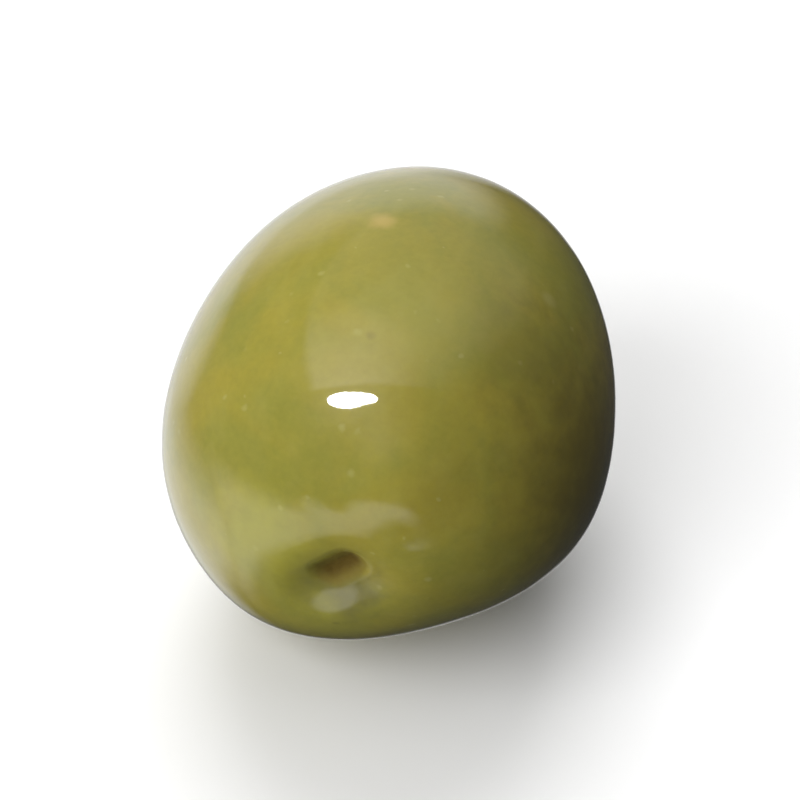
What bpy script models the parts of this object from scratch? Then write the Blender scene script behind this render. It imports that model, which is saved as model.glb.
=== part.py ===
"""A large green table olive, lying on its side.

The long axis runs along Y, with the stem end at -Y. The fruit is one solid: it grew as
one piece. Its origin is under its middle, on the small flat spot that it rests on.
"""

from math import cos, pi, radians, sin

import bmesh
import bpy
import numpy as np

# Driving dimensions, in metres
LENGTH = 0.0262  # rim of the stem hollow to the blossom tip
WIDTH = 0.0213
HEIGHT = 0.0210  # resting spot to the top of the fruit
STEM_FULLNESS = 0.12  # how much fuller the stem end is than the blossom end
END_ROUNDING = 0.93  # 1 is an ellipse, and less gives both ends blunter shoulders

# The resting spot: what it takes off the round underside
REST_CUT = 0.0003

# The wide shallow hollow that the stem came out of, at the -Y end
HOLLOW_CENTRE = (-0.00055, -0.00155)  # X and Z, from the long axis
HOLLOW_LINE = 0.0012  # length of the line that its floor lies along
HOLLOW_TURN = radians(13)  # the way of that line, from +X towards +Z
HOLLOW_REACH = 0.0049  # from that line to the rim
HOLLOW_DEPTH = 0.00055

# The basin in the hollow's floor, the small oblong pit in it, and the pit's shallow tail
BASIN_CENTRE = (0.0003, -0.0009)
BASIN_LINE = 0.0014
BASIN_TURN = radians(35)
BASIN_REACH = 0.0028
BASIN_DEPTH = 0.00037
PIT_CENTRE = (0.0002, -0.0002)
PIT_LINE = 0.0014
PIT_TURN = radians(44)
PIT_REACH = 0.0012
PIT_DEPTH = 0.0005
TAIL_CENTRE = (-0.0009, -0.00205)
TAIL_LINE = 0.0005
TAIL_REACH = 0.0019
TAIL_DEPTH = 0.0002

# The soft lip that stands out over the hollow
LIP_CENTRE = (0.0032, 0.0053)
LIP_REACH = 0.0042
LIP_HEIGHT = 0.00048

# The small tip at the blossom end, +Y
TIP_REACH = 0.0017
TIP_HEIGHT = 0.0003

# Soft swells and flats: the way each one faces, how far it reaches, its height
SWELLS = (
    ((0.28, -0.55, -0.56), 0.0115, -0.00138),
    ((-0.80, -0.10, 0.35), 0.0096, -0.00022),
    ((0.25, 0.45, 0.80), 0.0094, 0.00018),
    ((0.85, 0.35, -0.10), 0.0092, -0.00020),
    ((-0.45, 0.70, -0.35), 0.0082, 0.00015),
)

# How finely the turned form is divided
SIDES = 64
ROWS = 54
END_CROWDING = 0.8  # 0 spaces the rows evenly, and near 1 crowds them at the two ends
MERGE_DISTANCE = 0.00001

SKIN_COLOUR = (0.23, 0.225, 0.045, 1.0)
SKIN_ROUGHNESS = 0.22
SKIN_COAT = 0.6


def clear_scene():
    for thing in list(bpy.data.objects):
        bpy.data.objects.remove(thing, do_unlink=True)


def falloff(share):
    """1 at share 0, falling in a smooth curve to 0 at share 1 and beyond."""
    left = 1 - np.clip(share, 0.0, 1.0)
    return left * left * (3 - 2 * left)


def pull(places, spot, move, reach):
    """Moves the skin at the spot by move, and less the further it is from there."""
    distance = np.linalg.norm(places - np.array(spot), axis=1)
    return places + falloff(distance / reach)[:, None] * np.array(move)


def row_angle(row):
    """The angle from the stem end, 0 to pi, of one row of the profile."""
    share = row / ROWS
    return pi * share - 0.5 * END_CROWDING * sin(2 * pi * share)


def profile_point(angle):
    """Distance from the long axis, and place along it, on an egg-shaped outline."""
    egg = 1 + STEM_FULLNESS * cos(angle)
    radius = 0.5 * WIDTH * abs(sin(angle)) ** END_ROUNDING * egg
    return radius, -0.5 * LENGTH * cos(angle)


def turned_form(collection):
    """The egg-shaped outline turned about the Y axis, as one closed mesh."""
    points = [profile_point(row_angle(row)) for row in range(ROWS + 1)]
    points[0] = (0.0, points[0][1])
    points[-1] = (0.0, points[-1][1])
    outline = bpy.data.meshes.new("outline")
    edges = [(row, row + 1) for row in range(ROWS)]
    outline.from_pydata([(radius, along, 0.0) for radius, along in points], edges, [])
    fruit = bpy.data.objects.new("olive", outline)
    collection.objects.link(fruit)

    screw = fruit.modifiers.new("turn", "SCREW")
    screw.axis = "Y"
    screw.steps = SIDES
    screw.render_steps = SIDES
    screw.use_merge_vertices = True
    screw.merge_threshold = MERGE_DISTANCE
    turned = fruit.evaluated_get(bpy.context.evaluated_depsgraph_get())
    fruit_mesh = bpy.data.meshes.new_from_object(turned)
    fruit.modifiers.clear()
    fruit.data = fruit_mesh
    bpy.data.meshes.remove(outline)
    return fruit


def add_swells(places):
    """Moves the skin in or out a little, so that the fruit isn't perfectly turned."""
    for facing, reach, height in SWELLS:
        facing = np.array(facing) / np.linalg.norm(facing)
        ways = places / np.linalg.norm(places, axis=1)[:, None]
        spot = places[(ways @ facing).argmax()]
        places = pull(places, spot, facing * height, reach)
    return places


def press_in(places, centre, line, turn, reach, depth):
    """Pushes the stem end in along +Y, furthest on a line that lies across the axis."""
    way = np.array((cos(turn), sin(turn)))
    across = places[:, (0, 2)] - np.array(centre)
    along = np.clip(across @ way, -0.5 * line, 0.5 * line)
    distance = np.linalg.norm(across - along[:, None] * way, axis=1)
    pushed = depth * falloff(distance / reach)
    pushed[places[:, 1] > 0] = 0
    pressed = places.copy()
    pressed[:, 1] += pushed
    return pressed


def add_stem_end(places):
    """Presses in the hollow, basin, pit and tail, and draws the lip out over them."""
    places = press_in(places, HOLLOW_CENTRE, HOLLOW_LINE, HOLLOW_TURN, HOLLOW_REACH, HOLLOW_DEPTH)
    places = press_in(places, BASIN_CENTRE, BASIN_LINE, BASIN_TURN, BASIN_REACH, BASIN_DEPTH)
    places = press_in(places, PIT_CENTRE, PIT_LINE, PIT_TURN, PIT_REACH, PIT_DEPTH)
    places = press_in(places, TAIL_CENTRE, TAIL_LINE, PIT_TURN, TAIL_REACH, TAIL_DEPTH)
    return press_in(places, LIP_CENTRE, 0, 0, LIP_REACH, -LIP_HEIGHT)


def add_blossom_tip(places):
    """Draws out the small point at the blossom end."""
    return pull(places, (0, 0.5 * LENGTH, 0), (0, TIP_HEIGHT, 0), TIP_REACH)


def to_exact_size(places):
    """Brings the form to its driving dimensions, with the resting spot's cut below z = 0."""
    wanted = np.array((WIDTH, LENGTH, HEIGHT + REST_CUT))
    low = places.min(axis=0)
    high = places.max(axis=0)
    centred = (places - (low + high) / 2) * wanted / (high - low)
    centred[:, 2] += wanted[2] / 2 - REST_CUT
    return centred


def shape_fruit(fruit):
    mesh = fruit.data
    places = np.empty(len(mesh.vertices) * 3, dtype=np.float64)
    mesh.vertices.foreach_get("co", places)
    places = places.reshape(-1, 3)
    places = add_swells(places)
    places = add_stem_end(places)
    places = add_blossom_tip(places)
    places = to_exact_size(places)
    mesh.vertices.foreach_set("co", places.ravel())
    mesh.update()


def cut_resting_spot(fruit):
    """Cuts the underside flat at z = 0 and closes the cut with one flat face."""
    form = bmesh.new()
    form.from_mesh(fruit.data)
    everything = form.verts[:] + form.edges[:] + form.faces[:]
    cut = bmesh.ops.bisect_plane(
        form,
        geom=everything,
        dist=MERGE_DISTANCE,
        plane_co=(0, 0, 0),
        plane_no=(0, 0, -1),
        clear_outer=True,
    )
    rim = [item for item in cut["geom_cut"] if isinstance(item, bmesh.types.BMEdge)]
    for edge in rim:
        edge.smooth = False
        for corner in edge.verts:
            corner.co.z = 0.0
    bmesh.ops.contextual_create(form, geom=rim)
    bmesh.ops.recalc_face_normals(form, faces=form.faces)
    form.to_mesh(fruit.data)
    form.free()


def skin_material():
    skin = bpy.data.materials.new("olive skin")
    skin.use_nodes = True
    shader = skin.node_tree.nodes["Principled BSDF"]
    shader.inputs["Base Color"].default_value = SKIN_COLOUR
    shader.inputs["Roughness"].default_value = SKIN_ROUGHNESS
    shader.inputs["Metallic"].default_value = 0.0
    shader.inputs["Coat Weight"].default_value = SKIN_COAT
    skin.diffuse_color = SKIN_COLOUR
    return skin


def make_olive():
    collection = bpy.data.collections.new("green_olive")
    bpy.context.scene.collection.children.link(collection)
    fruit = turned_form(collection)
    shape_fruit(fruit)
    cut_resting_spot(fruit)
    fruit.data.name = "olive"
    fruit.data.shade_smooth()
    fruit.data.materials.append(skin_material())


clear_scene()
make_olive()
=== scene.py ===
from math import cos, pi, radians, sin

import bpy
import numpy as np
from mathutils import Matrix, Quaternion, Vector


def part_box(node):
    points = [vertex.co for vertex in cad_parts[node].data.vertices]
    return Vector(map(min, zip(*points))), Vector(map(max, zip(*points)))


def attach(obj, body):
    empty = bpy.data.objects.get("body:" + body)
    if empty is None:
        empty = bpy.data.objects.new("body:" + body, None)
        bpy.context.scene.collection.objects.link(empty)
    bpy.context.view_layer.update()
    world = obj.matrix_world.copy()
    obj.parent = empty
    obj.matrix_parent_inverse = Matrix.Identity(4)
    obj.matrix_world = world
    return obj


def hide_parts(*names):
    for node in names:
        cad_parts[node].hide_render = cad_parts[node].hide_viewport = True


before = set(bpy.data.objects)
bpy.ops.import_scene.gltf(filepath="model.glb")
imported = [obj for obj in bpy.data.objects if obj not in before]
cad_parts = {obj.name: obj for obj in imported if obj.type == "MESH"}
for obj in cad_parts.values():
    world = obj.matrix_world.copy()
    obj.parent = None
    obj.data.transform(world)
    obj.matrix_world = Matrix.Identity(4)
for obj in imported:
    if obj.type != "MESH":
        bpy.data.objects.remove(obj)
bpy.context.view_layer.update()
lowCorner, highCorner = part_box("olive")
fruitMiddle = (Vector(lowCorner) + Vector(highCorner)) / 2
fruitSize = Vector(highCorner) - Vector(lowCorner)
print("frame loaded, fruit is", [round(side * 1000, 1) for side in fruitSize], "mm")


# shader helpers

noiseMiddle = 0.5  # what the values of a noise texture swing round


def addNode(tree, kind, settings=None, inputs=None):
    node = tree.nodes.new(kind)
    for name, value in (settings or {}).items():
        setattr(node, name, value)
    for name, value in (inputs or {}).items():
        if isinstance(value, bpy.types.NodeSocket):
            tree.links.new(value, node.inputs[name])
        else:
            node.inputs[name].default_value = value
    return node


def mixColors(tree, factor, first, second, blend="MIX"):
    settings = {"data_type": "RGBA", "blend_type": blend}
    node = addNode(tree, "ShaderNodeMix", settings, {"Factor": factor})
    for socket, value in (("A", first), ("B", second)):
        target = next(s for s in node.inputs if s.name == socket and s.type == "RGBA")
        if isinstance(value, bpy.types.NodeSocket):
            tree.links.new(value, target)
        else:
            target.default_value = value
    return next(s for s in node.outputs if s.type == "RGBA")


def fadeBetween(tree, value, start, end, low=0.0, high=1.0):
    inputs = {"Value": value, "From Min": start, "From Max": end, "To Min": low, "To Max": high}
    settings = {"interpolation_type": "SMOOTHSTEP"}
    return addNode(tree, "ShaderNodeMapRange", settings, inputs).outputs["Result"]


def mathNode(tree, operation, first, second=0.0):
    return addNode(tree, "ShaderNodeMath", {"operation": operation}, {0: first, 1: second}).outputs[0]


def newGroup(name, inputs, outputs):
    group = bpy.data.node_groups.new(name, "ShaderNodeTree")
    for label, kind, value in inputs:
        socket = group.interface.new_socket(label, in_out="INPUT", socket_type=kind)
        if value is not None:
            socket.default_value = value
    for label, kind in outputs:
        group.interface.new_socket(label, in_out="OUTPUT", socket_type=kind)
    start = group.nodes.new("NodeGroupInput")
    end = group.nodes.new("NodeGroupOutput")
    return group, start, end


def useGroup(tree, group, inputs):
    return addNode(tree, "ShaderNodeGroup", {"node_tree": group}, inputs)


# camera

photoView = {
    "azimuth": 14,  # degrees round from straight in front of the stem end
    "elevation": 39,
    "distance": 0.46,
    "lens": 435,
    "aim": (0.0, 0.0, 0.0102),
    "nearClip": 0.01,
}


def wayTo(azimuth, elevation):
    # the unit direction from the fruit towards a place round it
    turn, rise = radians(azimuth), radians(elevation)
    return Vector((sin(turn) * cos(rise), -cos(turn) * cos(rise), sin(rise)))


def makeCamera():
    aim = Vector(photoView["aim"])
    away = wayTo(photoView["azimuth"], photoView["elevation"])
    bpy.ops.object.camera_add(location=aim + away * photoView["distance"])
    camera = bpy.context.object
    camera.name = "photoCamera"
    camera.rotation_euler = away.to_track_quat("Z", "Y").to_euler()
    camera.data.lens = photoView["lens"]
    camera.data.clip_start = photoView["nearClip"]
    bpy.context.scene.camera = camera
    bpy.context.scene.view_settings.view_transform = "Standard"
    print("camera placed")


# floor and studio light

# a side of a lit part: the way it faces, inwards (to the camera's right, towards the camera, up),
# and where along that way its light starts and where it is full
softboxSides = [
    ((0.028, -0.926, 0.376), (-0.035, 0.035)),
    ((-0.647, -0.521, 0.557), (-0.16, 0.16)),
    ((0.759, 0.080, 0.646), (0.0, 0.12)),
]

studio = {
    "floorRadius": 0.7,
    "floorSides": 96,
    "floorColor": (0.97, 0.97, 0.97, 1),
    "floorRoughness": 0.9,
    "floorShine": 0.1,
    "backgroundColor": (1.0, 1.0, 1.0, 1),
    "roomLight": 0.047,  # the dark room round the lit parts
    "litParts": {
        # how bright it is, and its sides
        "softbox": (0.28, softboxSides + [((0.0, 0.25, 0.97), (-0.25, 0.25))]),
        "brightCorner": (0.95, softboxSides + [
            ((-1.0, 0.0, 0.0), (-0.65, 0.25)),
            ((0.0, 1.0, 0.0), (-0.75, 0.15)),
        ]),
        "leftWall": (0.11, [
            ((-0.503, -0.798, -0.332), (-0.10, 0.10)),
            ((-0.75, 0.30, 0.40), (-0.60, 0.60)),
        ]),
        "frontTable": (0.90, [
            ((0.0, 0.0, -1.0), (0.05, 0.32)),
            ((-0.50, -0.30, 0.80), (-0.60, -0.42)),
            ((-1.0, 0.0, 0.0), (-0.60, -0.20)),
            ((0.0, 1.0, 0.0), (-0.30, 0.30)),
        ]),
        "farTable": (0.95, [
            ((-0.20, 0.0, -0.98), (0.12, 0.28)),
            ((0.0, 0.0, 1.0), (-0.49, -0.35)),
            ((0.0, 1.0, 0.0), (0.70, 0.84)),
            ((-1.0, 0.0, 0.0), (-0.42, -0.08)),
        ]),
        "leftTable": (1.05, [
            ((0.0, 0.0, -1.0), (0.10, 0.62)),
            ((-1.0, 0.0, 0.0), (0.05, 0.35)),
            ((0.0, -1.0, 0.0), (-0.60, 0.10)),
            ((0.0, 0.0, 1.0), (-0.93, -0.74)),
        ]),
        "backTable": (0.85, [
            ((0.0, 0.0, -1.0), (-0.10, 0.25)),
            ((0.0, -1.0, 0.0), (0.45, 0.75)),
            ((-1.0, 0.0, 0.0), (-0.22, 0.04)),
            ((0.0, 0.0, 1.0), (-0.85, -0.60)),
        ]),
        "backWall": (0.72, [
            ((0.0, -1.0, 0.0), (0.74, 1.0)),
            ((-0.80, 0.0, 0.60), (-0.37, -0.09)),
            ((0.0, 0.0, -1.0), (-0.72, -0.12)),
        ]),
    },
    "lamps": {
        # a lamp lights the skin's own color, or else only shines in the wet film
        "glintLamp": {
            "azimuth": -15, "elevation": 55, "turn": 22, "distance": 0.38, "width": 0.172,
            "height": 0.060, "radiance": 34, "shape": "ELLIPSE", "lightsSkin": False,
        },
        "frontKey": {
            "azimuth": -25, "elevation": 30, "turn": 0, "distance": 0.36, "width": 0.36,
            "height": 0.36, "radiance": 3.95, "shape": "RECTANGLE", "lightsSkin": True,
        },
        "backKey": {
            "azimuth": -165, "elevation": 50, "turn": 0, "distance": 0.36, "width": 0.30,
            "height": 0.30, "radiance": 3.9, "shape": "RECTANGLE", "lightsSkin": True,
        },
    },
}


def makeFloor():
    bpy.ops.mesh.primitive_circle_add(
        vertices=studio["floorSides"], radius=studio["floorRadius"], fill_type="NGON",
    )
    floor = bpy.context.object
    floor.name = "studioFloor"
    finish = bpy.data.materials.new("pale floor")
    finish.use_nodes = True
    shader = finish.node_tree.nodes["Principled BSDF"]
    shader.inputs["Base Color"].default_value = studio["floorColor"]
    shader.inputs["Roughness"].default_value = studio["floorRoughness"]
    shader.inputs["Specular IOR Level"].default_value = studio["floorShine"]
    floor.data.materials.append(finish)
    # the skin mirrors the lit table tops of the world instead, and is lit by them from below
    floor.visible_glossy = False
    floor.visible_diffuse = False
    floor.visible_shadow = False


def makeLamp(name, azimuth, elevation, turn, distance, width, height, radiance, shape, lightsSkin):
    away = wayTo(azimuth, elevation)
    bpy.ops.object.light_add(type="AREA", location=Vector(photoView["aim"]) + away * distance)
    lamp = bpy.context.object
    lamp.name = name
    facing = away.to_track_quat("Z", "Y") @ Quaternion((0, 0, 1), radians(turn))
    lamp.rotation_euler = facing.to_euler()
    lamp.data.shape = shape
    lamp.data.size = width
    lamp.data.size_y = height
    lamp.data.energy = radiance * pi * width * height  # watts for that radiance
    lamp.visible_camera = False
    lamp.visible_diffuse = lightsSkin
    lamp.visible_glossy = not lightsSkin


def inWorldAxes(way):
    # from the camera's right, its own side and up, to the world's X, Y and Z
    turn = radians(photoView["azimuth"])
    right = Vector((cos(turn), sin(turn), 0))
    near = Vector((sin(turn), -cos(turn), 0))
    return (right * way[0] + near * way[1] + Vector((0, 0, way[2]))).normalized()


def makeSurroundings():
    # the world holds the lit parts and the dark room round them, by direction
    world = bpy.data.worlds.new("studio")
    bpy.context.scene.world = world
    world.use_nodes = True
    tree = world.node_tree
    place = addNode(tree, "ShaderNodeTexCoord").outputs["Generated"]
    light = studio["roomLight"]
    for radiance, sides in studio["litParts"].values():
        lit = radiance
        for side, (dark, full) in sides:
            facing = addNode(tree, "ShaderNodeVectorMath", {"operation": "DOT_PRODUCT"},
                             {0: place, 1: inWorldAxes(side)}).outputs["Value"]
            lit = mathNode(tree, "MULTIPLY", fadeBetween(tree, facing, dark, full), lit)
        light = mathNode(tree, "MAXIMUM", light, lit)
    seen = addNode(tree, "ShaderNodeLightPath").outputs["Is Camera Ray"]
    color = mixColors(tree, seen, light, studio["backgroundColor"])
    tree.links.new(color, tree.nodes["Background"].inputs["Color"])


def makeStudio():
    makeFloor()
    for name, values in studio["lamps"].items():
        makeLamp(name, **values)
    makeSurroundings()
    print("floor and lamps placed")


# shared effects

def makeMottleGroup():
    # cloudy patches between two colors, with a finer grain laid over them
    group, start, end = newGroup(
        "mottled tint",
        [
            ("Place", "NodeSocketVector", None),
            ("Light Color", "NodeSocketColor", (0.5, 0.5, 0.1, 1)),
            ("Dark Color", "NodeSocketColor", (0.2, 0.2, 0.05, 1)),
            ("Patch Scale", "NodeSocketFloat", 120.0),
            ("Grain Scale", "NodeSocketFloat", 1800.0),
            ("Grain Strength", "NodeSocketFloat", 0.1),
        ],
        [("Color", "NodeSocketColor"), ("Grain", "NodeSocketFloat")],
    )
    patches = addNode(group, "ShaderNodeTexNoise", None, {
        "Vector": start.outputs["Place"], "Scale": start.outputs["Patch Scale"],
        "Detail": 4.0, "Roughness": 0.55, "Distortion": 0.4,
    })
    share = fadeBetween(group, patches.outputs["Fac"], 0.36, 0.64)
    tint = mixColors(group, share, start.outputs["Dark Color"], start.outputs["Light Color"])
    grain = addNode(group, "ShaderNodeTexNoise", None, {
        "Vector": start.outputs["Place"], "Scale": start.outputs["Grain Scale"],
        "Detail": 5.0, "Roughness": 0.6,
    })
    swing = mathNode(group, "SUBTRACT", grain.outputs["Fac"], noiseMiddle)
    gain = mathNode(group, "MULTIPLY", swing, start.outputs["Grain Strength"])
    level = mathNode(group, "ADD", gain, 1.0)
    shade = addNode(group, "ShaderNodeCombineColor", None, dict.fromkeys(("Red", "Green", "Blue"), level))
    color = mixColors(group, 1.0, tint, shade.outputs["Color"], "MULTIPLY")
    group.links.new(color, end.inputs["Color"])
    group.links.new(grain.outputs["Fac"], end.inputs["Grain"])
    return group


def makeDotsGroup():
    # scattered dots, not quite round, as a mask: 1 in a dot and 0 between them
    group, start, end = newGroup(
        "scattered dots",
        [
            ("Place", "NodeSocketVector", None),
            ("Scale", "NodeSocketFloat", 600.0),
            ("Dot Size", "NodeSocketFloat", 0.15),
            ("Softness", "NodeSocketFloat", 0.5),
            ("Raggedness", "NodeSocketFloat", 0.0002),
            ("Share Left Out", "NodeSocketFloat", 0.4),
        ],
        [("Mask", "NodeSocketFloat")],
    )
    wobble = addNode(group, "ShaderNodeTexNoise", None, {
        "Vector": start.outputs["Place"], "Scale": 2400.0, "Detail": 2.0,
    })
    centred = addNode(group, "ShaderNodeVectorMath", {"operation": "SUBTRACT"},
                      {0: wobble.outputs["Color"], 1: (noiseMiddle,) * 3}).outputs[0]
    shift = addNode(group, "ShaderNodeVectorMath", {"operation": "SCALE"},
                    {0: centred, "Scale": start.outputs["Raggedness"]}).outputs[0]
    moved = addNode(group, "ShaderNodeVectorMath", {"operation": "ADD"},
                    {0: start.outputs["Place"], 1: shift}).outputs[0]
    cells = addNode(group, "ShaderNodeTexVoronoi", None, {"Vector": moved, "Scale": start.outputs["Scale"]})
    draw = addNode(group, "ShaderNodeSeparateColor", None, {"Color": cells.outputs["Color"]})
    smallest = 0.4  # the smallest dot's share of the dot size
    growth = mathNode(group, "ADD", draw.outputs["Green"], smallest)
    size = mathNode(group, "MULTIPLY", start.outputs["Dot Size"], growth)
    core = mathNode(group, "MULTIPLY", size, mathNode(group, "SUBTRACT", 1.0, start.outputs["Softness"]))
    dot = fadeBetween(group, cells.outputs["Distance"], size, core)
    kept = mathNode(group, "GREATER_THAN", draw.outputs["Red"], start.outputs["Share Left Out"])
    group.links.new(mathNode(group, "MULTIPLY", dot, kept), end.inputs["Mask"])
    return group


def makeSpotGroup():
    # one soft ragged spot at a place on the skin, as a mask
    group, start, end = newGroup(
        "soft spot",
        [
            ("Place", "NodeSocketVector", None),
            ("Centre", "NodeSocketVector", (0, 0, 0)),
            ("Radius", "NodeSocketFloat", 0.001),
            ("Core", "NodeSocketFloat", 0.0003),
        ],
        [("Mask", "NodeSocketFloat")],
    )
    distance = addNode(group, "ShaderNodeVectorMath", {"operation": "DISTANCE"},
                       {0: start.outputs["Place"], 1: start.outputs["Centre"]}).outputs["Value"]
    ragged = addNode(group, "ShaderNodeTexNoise", None, {
        "Vector": start.outputs["Place"], "Scale": 900.0, "Detail": 3.0,
    })
    swing = mathNode(group, "SUBTRACT", ragged.outputs["Fac"], noiseMiddle)
    moved = mathNode(group, "ADD", distance, mathNode(group, "MULTIPLY", swing, start.outputs["Radius"]))
    mask = fadeBetween(group, moved, start.outputs["Radius"], start.outputs["Core"])
    group.links.new(mask, end.inputs["Mask"])
    return group


# olive skin

oliveSkin = {
    "sides": 288,
    "rings": 220,
    "endCrowding": 0.78,  # rings crowd towards the two ends
    "stemFullness": 0.12,
    "endRounding": 0.93,
    "weldDistance": 0.000002,
    "swells": [
        # the way it faces, how far it reaches, how far it stands in or out
        ((0.28, -0.55, -0.56), 0.0115, -0.00138),
        ((-0.80, -0.10, 0.35), 0.0096, -0.00022),
        ((0.25, 0.45, 0.80), 0.0094, 0.00018),
        ((0.85, 0.35, -0.10), 0.0092, -0.00020),
        ((-0.45, 0.70, -0.35), 0.0082, 0.00015),
    ],
    "dents": {
        # middle, from the long axis, length and turn of its floor, reach, depth
        "hollow": ((-0.00055, -0.00155), 0.0012, 13, 0.0049, 0.00055),
        "basin": ((0.0003, -0.0009), 0.0014, 35, 0.0028, 0.00037),
        "pit": ((0.0002, -0.0002), 0.0014, 44, 0.0012, 0.0005),
        "tail": ((-0.0009, -0.00205), 0.0005, 44, 0.0019, 0.0002),
        "lip": ((0.0033, 0.0049), 0.0, 0, 0.0034, -0.00040),  # stands out over the hollow
    },
    "dentFloor": 0.00004,  # half the width of a dent's floor
    "scar": ((0.00025, -0.0004), 0.0015, 44, 0.0019),  # the brown part: middle, length, turn, reach
    "tip": {"reach": 0.0017, "height": 0.0003},
    "restCut": 0.0003,
    "softLumps": {"size": 0.0050, "depth": 0.00006},
    "fineLumps": {"size": 0.0012, "depth": 0.000014},
    "scarFibres": {"size": 0.00030, "depth": 0.00008},
    "fibreFading": 3,  # how fast the fibres fade towards the scar's rim, as a power
    "colors": {
        "yellowGreen": (0.313, 0.266, 0.038, 1),
        "leafGreen": (0.256, 0.241, 0.038, 1),
        # brown olive tone, partly painted shade on the dim right side
        "brownShadeOlive": (0.176, 0.135, 0.026, 1),
        # pale tint for the faint streaks, and for painted light on the top
        "paleStreakAndLitTop": (0.360, 0.325, 0.075, 1),
        "lenticel": (0.42, 0.39, 0.13, 1),
        "freckle": (0.13, 0.095, 0.022, 1),
        # lighter green for painted light from the pale table
        "tableLitGreen": (0.400, 0.365, 0.045, 1),
        "greyOlive": (0.160, 0.145, 0.041, 1),
        "pitEdge": (0.165, 0.124, 0.025, 1),
        # the scar's floor: dark brown, darkened further as painted shade in the pit
        "pitFloorAndShade": (0.105, 0.070, 0.013, 1),
        "paleOrange": (0.49, 0.36, 0.100, 1),
    },
    "marks": {
        # spots and soft patches, some of them painted light and shade: place from the middle of the fruit,
        # radius, core, color, strength
        "orangeSpot": ((-0.0009, -0.0001, 0.0104), 0.00095, 0.0001, "paleOrange", 0.80),
        "darkDot": ((0.0004, -0.0073, 0.0093), 0.00036, 0.00005, "freckle", 0.45),
        "paleDot": ((0.0073, -0.0004, 0.0075), 0.00060, 0.0001, "lenticel", 0.45),
        # browner right cheek and shoulder: partly the fruit's own brown, partly painted shade on its right
        # side
        "brownCheekShade": ((0.0098, -0.0035, 0.0008), 0.0094, 0.0005, "brownShadeOlive", 0.64),
        "brownShoulderShade": ((0.0070, -0.0045, 0.0074), 0.0052, 0.0005, "brownShadeOlive", 0.30),
        # lighter green patch low on the left: painted light from the pale table
        "tableLitSide": ((-0.0036, -0.0127, 0.0004), 0.0041, 0.0004, "tableLitGreen", 0.55),
        # darker, greyer skin on the slope below the pit
        "greySlope": ((0.0004, -0.0121, -0.0018), 0.0032, 0.0004, "greyOlive", 0.80),
        # paler patch on the top: painted light where light from above falls
        "litCrown": ((0.0023, -0.0056, 0.0096), 0.0044, 0.0005, "paleStreakAndLitTop", 0.45),
        "tipPoint": ((0.0, 0.0130, 0.0), 0.00045, 0.0001, "pitEdge", 0.9),
    },
    "mottle": {"Patch Scale": 170.0, "Grain Scale": 2600.0, "Grain Strength": 0.26},
    "streaks": {"scale": 700.0, "stretch": 0.16, "strength": 0.20},  # stretch is along the fruit
    "lenticels": {
        "Scale": 820.0, "Dot Size": 0.17, "Softness": 0.8, "Raggedness": 0.0003, "Share Left Out": 0.50,
    },
    "lenticelStrength": 0.42,
    "freckles": {
        "Scale": 260.0, "Dot Size": 0.045, "Softness": 0.6, "Raggedness": 0.0004, "Share Left Out": 0.75,
    },
    "freckleStrength": 0.35,
    "pitBrownAndShade": {
        # where each brown starts and is full, from 0 at the scar's rim to 1 on its line; the floor's darker
        # brown is partly painted shade in the pit
        "raggedness": 0.20, "edge": (0.03, 0.42), "edgeStrength": 0.80, "floor": (0.35, 1.0),
    },
    "filmEnd": 0.16,  # the wet film is gone this far into the scar
    "skinRoughness": 0.40,
    "pitRoughness": 0.85,
    "pores": {"scale": 2600.0, "lenticelHeight": 0.8, "strength": 0.3, "depth": 0.00003},
    "shaderValues": {
        "Specular IOR Level": 0.12,
        "Coat Roughness": 0.035,
        "Coat IOR": 1.75,
        "Subsurface Weight": 0.35,
        "Subsurface Radius": (1.0, 0.85, 0.25),
        "Subsurface Scale": 0.0014,
    },
}


def goToMode(mode):
    bpy.ops.object.mode_set(mode=mode)


def pickVertices(piece, wanted):
    # selects the vertices whose numbers are in wanted, and leaves edit mode on
    goToMode("EDIT")
    bpy.context.tool_settings.mesh_select_mode = (True, False, False)
    bpy.ops.mesh.select_all(action="DESELECT")
    goToMode("OBJECT")
    for number in wanted:
        piece.data.vertices[int(number)].select = True
    goToMode("EDIT")


def placesOf(piece):
    places = np.empty(len(piece.data.vertices) * 3)
    piece.data.vertices.foreach_get("co", places)
    return places.reshape(-1, 3)


def pull(piece, numbers, move, reach):
    # moves the vertices with those numbers, and the skin round them less the further off it is
    pickVertices(piece, numbers)
    bpy.ops.transform.translate(
        value=move,
        use_proportional_edit=True,
        proportional_edit_falloff="SMOOTH",
        proportional_size=reach,
    )
    goToMode("OBJECT")


def nearestTo(piece, spot):
    return int(np.linalg.norm(placesOf(piece) - np.array(spot), axis=1).argmin())


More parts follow.
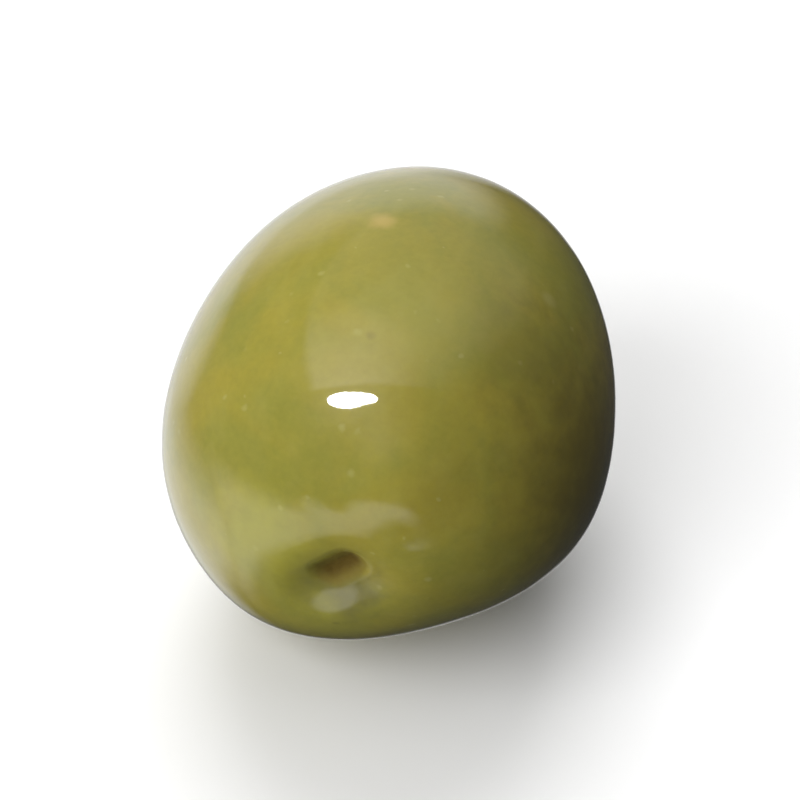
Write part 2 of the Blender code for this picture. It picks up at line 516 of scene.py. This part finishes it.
def turnOutline():
    # half a circle, shaped to the fruit's outline and spun about the long axis
    hair = 0.001  # radians, less than half a ring
    bpy.ops.object.select_all(action="DESELECT")
    bpy.ops.mesh.primitive_circle_add(vertices=2 * oliveSkin["rings"], radius=fruitSize.y / 2)
    skin = bpy.context.object
    skin.name = "oliveSkin"
    skin.data.name = "oliveSkin"
    places = placesOf(skin)
    around = np.arctan2(places[:, 0], -places[:, 1])  # 0 at the stem end, pi at the other
    pickVertices(skin, np.flatnonzero(around < -hair))
    bpy.ops.mesh.delete(type="VERT")
    goToMode("OBJECT")

    places = placesOf(skin)
    around = np.abs(np.arctan2(places[:, 0], -places[:, 1]))
    share = around / pi
    angle = pi * share - 0.5 * oliveSkin["endCrowding"] * np.sin(2 * pi * share)
    egg = 1 + oliveSkin["stemFullness"] * np.cos(angle)
    across = fruitSize.x / 2 * np.abs(np.sin(angle)) ** oliveSkin["endRounding"] * egg
    across[(around < hair) | (around > pi - hair)] = 0
    along = -fruitSize.y / 2 * np.cos(angle)
    skin.data.vertices.foreach_set("co", np.column_stack((across, along, 0 * along)).ravel())

    goToMode("EDIT")
    bpy.ops.mesh.select_all(action="SELECT")
    bpy.ops.mesh.spin(steps=oliveSkin["sides"], angle=2 * pi, center=(0, 0, 0), axis=(0, 1, 0))
    bpy.ops.mesh.select_all(action="SELECT")
    bpy.ops.mesh.remove_doubles(threshold=oliveSkin["weldDistance"])
    bpy.ops.mesh.normals_make_consistent(inside=False)
    goToMode("OBJECT")
    return skin


def addSwells(skin):
    # soft swells and flats, so the fruit isn't perfectly turned
    for facing, reach, height in oliveSkin["swells"]:
        way = Vector(facing).normalized()
        places = placesOf(skin)
        ways = places / np.linalg.norm(places, axis=1)[:, None]
        spot = int((ways @ np.array(way)).argmax())
        pull(skin, [spot], way * height, reach)


def fromLine(skin, centre, length, turn):
    # how far each vertex is from a line across the stem end, and endless on the other half
    places = placesOf(skin)
    way = np.array((cos(radians(turn)), sin(radians(turn))))
    across = places[:, (0, 2)] - np.array(centre)
    along = np.clip(across @ way, -length / 2, length / 2)
    distance = np.linalg.norm(across - along[:, None] * way, axis=1)
    distance[places[:, 1] > 0] = np.inf
    return distance


def pressDents(skin):
    # the wide hollow, the basin and the oblong pit in it, the pit's tail and the lip above
    nearly = 1.01  # a dent with no vertex on its floor takes those that are nearly the nearest
    for centre, length, turn, reach, depth in oliveSkin["dents"].values():
        distance = fromLine(skin, centre, length, turn)
        floor = np.flatnonzero(distance < max(distance.min() * nearly, oliveSkin["dentFloor"]))
        pull(skin, floor, (0, depth, 0), reach)


def markScar(skin):
    # 1 on the scar's own line, falling to 0 at its rim, kept on the vertices for the shader
    centre, length, turn, reach = oliveSkin["scar"]
    left = 1 - np.clip(fromLine(skin, centre, length, turn) / reach, 0, 1)
    share = skin.data.attributes.new("scarShare", "FLOAT", "POINT")
    share.data.foreach_set("value", left * left * (3 - 2 * left))


def drawOutTip(skin):
    tip = oliveSkin["tip"]
    pull(skin, [nearestTo(skin, (0, fruitSize.y / 2, 0))], (0, tip["height"], 0), tip["reach"])


def displace(skin, name, group=""):
    lumps = bpy.data.textures.new(name, "CLOUDS")
    lumps.noise_scale = oliveSkin[name]["size"]
    lumps.noise_depth = 2
    step = skin.modifiers.new(name, "DISPLACE")
    step.texture = lumps
    step.texture_coords = "LOCAL"
    step.strength = oliveSkin[name]["depth"]
    step.mid_level = noiseMiddle
    step.vertex_group = group
    bpy.context.view_layer.objects.active = skin
    bpy.ops.object.modifier_apply(modifier=name)


def groupFromAttribute(skin, name, fading):
    # a vertex group whose weights fall off faster than the attribute's values
    values = skin.data.attributes[name].data
    group = skin.vertex_groups.new(name=name)
    for number, item in enumerate(values):
        if item.value > 0:
            group.add([number], item.value ** fading, "REPLACE")


def fitToFrame(skin):
    # exact size of the frame's fruit, then the underside pressed flat on the floor
    places = placesOf(skin)
    low, high = places.min(axis=0), places.max(axis=0)
    wanted = np.array(fruitSize) + np.array((0, 0, oliveSkin["restCut"]))
    places = (places - (low + high) / 2) * wanted / (high - low)
    places += np.array(fruitMiddle) - np.array((0, 0, oliveSkin["restCut"] / 2))
    skin.data.vertices.foreach_set("co", places.ravel())
    pickVertices(skin, np.flatnonzero(places[:, 2] < 0))
    bpy.ops.transform.resize(value=(1, 1, 0), center_override=(0, 0, 0))
    goToMode("OBJECT")


def skinMaterial(mottle, dots, spot):
    colors = oliveSkin["colors"]
    finish = bpy.data.materials.new("wet olive skin")
    finish.use_nodes = True
    tree = finish.node_tree
    shader = tree.nodes["Principled BSDF"]
    local = addNode(tree, "ShaderNodeTexCoord").outputs["Object"]
    middle = tuple(-fruitMiddle)
    place = addNode(tree, "ShaderNodeMapping", None, {"Vector": local, "Location": middle}).outputs[0]

    tint = useGroup(tree, mottle, {
        "Place": place, "Light Color": colors["yellowGreen"], "Dark Color": colors["leafGreen"],
        **oliveSkin["mottle"],
    })
    color = tint.outputs["Color"]

    # faint streaks from end to end
    streaks = oliveSkin["streaks"]
    stretch = (1, streaks["stretch"], 1)
    drawn = addNode(tree, "ShaderNodeMapping", None, {"Vector": place, "Scale": stretch}).outputs[0]
    threads = addNode(tree, "ShaderNodeTexNoise", None, {
        "Vector": drawn, "Scale": streaks["scale"], "Detail": 3.0,
    })
    share = fadeBetween(tree, threads.outputs["Fac"], 0.45, 0.75, 0.0, streaks["strength"])
    color = mixColors(tree, share, color, colors["paleStreakAndLitTop"])

    # small pale lenticels and a few brown freckles
    lenticels = useGroup(tree, dots, {"Place": place, **oliveSkin["lenticels"]}).outputs["Mask"]
    share = mathNode(tree, "MULTIPLY", lenticels, oliveSkin["lenticelStrength"])
    color = mixColors(tree, share, color, colors["lenticel"])
    freckles = useGroup(tree, dots, {"Place": place, **oliveSkin["freckles"]}).outputs["Mask"]
    share = mathNode(tree, "MULTIPLY", freckles, oliveSkin["freckleStrength"])
    color = mixColors(tree, share, color, colors["freckle"])

    # the marks on the fruit: its own spots, and patches of painted light and shade
    for centre, radius, core, colorName, strength in oliveSkin["marks"].values():
        mark = useGroup(tree, spot, {"Place": place, "Centre": centre, "Radius": radius, "Core": core})
        share = mathNode(tree, "MULTIPLY", mark.outputs["Mask"], strength)
        color = mixColors(tree, share, color, colors[colorName])

    # the pit, brown from its ragged edge to its floor, darkest on the floor, partly as painted shade
    brown = oliveSkin["pitBrownAndShade"]
    scar = addNode(tree, "ShaderNodeAttribute", {"attribute_name": "scarShare"}).outputs["Fac"]
    swing = mathNode(tree, "SUBTRACT", tint.outputs["Grain"], noiseMiddle)
    raggedScar = mathNode(tree, "ADD", scar, mathNode(tree, "MULTIPLY", swing, brown["raggedness"]))
    edgeMask = fadeBetween(tree, raggedScar, *brown["edge"])
    floorShadeMask = fadeBetween(tree, raggedScar, *brown["floor"])
    share = mathNode(tree, "MULTIPLY", edgeMask, brown["edgeStrength"])
    color = mixColors(tree, share, color, colors["pitEdge"])
    color = mixColors(tree, floorShadeMask, color, colors["pitFloorAndShade"])
    tree.links.new(color, shader.inputs["Base Color"])

    # wet film, none on the scar
    film = fadeBetween(tree, scar, 0.0, oliveSkin["filmEnd"], 1.0, 0.0)
    tree.links.new(film, shader.inputs["Coat Weight"])
    roughness = fadeBetween(tree, edgeMask, 0.0, 1.0, oliveSkin["skinRoughness"], oliveSkin["pitRoughness"])
    tree.links.new(roughness, shader.inputs["Roughness"])

    # fine pores in the skin under the film
    pores = oliveSkin["pores"]
    fine = addNode(tree, "ShaderNodeTexNoise", None, {
        "Vector": place, "Scale": pores["scale"], "Detail": 3.0,
    })
    raised = mathNode(tree, "MULTIPLY", lenticels, pores["lenticelHeight"])
    height = mathNode(tree, "ADD", fine.outputs["Fac"], raised)
    bump = addNode(tree, "ShaderNodeBump", None, {
        "Height": height, "Strength": pores["strength"], "Distance": pores["depth"],
    })
    tree.links.new(bump.outputs["Normal"], shader.inputs["Normal"])

    for name, value in oliveSkin["shaderValues"].items():
        shader.inputs[name].default_value = value
    return finish


def makeOliveSkin(mottle, dots, spot):
    skin = turnOutline()
    addSwells(skin)
    markScar(skin)
    pressDents(skin)
    drawOutTip(skin)
    displace(skin, "softLumps")
    displace(skin, "fineLumps")
    groupFromAttribute(skin, "scarShare", oliveSkin["fibreFading"])
    displace(skin, "scarFibres", "scarShare")
    fitToFrame(skin)
    bpy.ops.object.select_all(action="DESELECT")
    skin.select_set(True)
    bpy.ops.object.shade_smooth()
    skin.data.materials.append(skinMaterial(mottle, dots, spot))
    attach(skin, "root")
    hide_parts("olive")
    print("olive skin made,", len(skin.data.polygons), "faces")


makeCamera()
makeStudio()
mottleGroup = makeMottleGroup()
dotsGroup = makeDotsGroup()
spotGroup = makeSpotGroup()
makeOliveSkin(mottleGroup, dotsGroup, spotGroup)
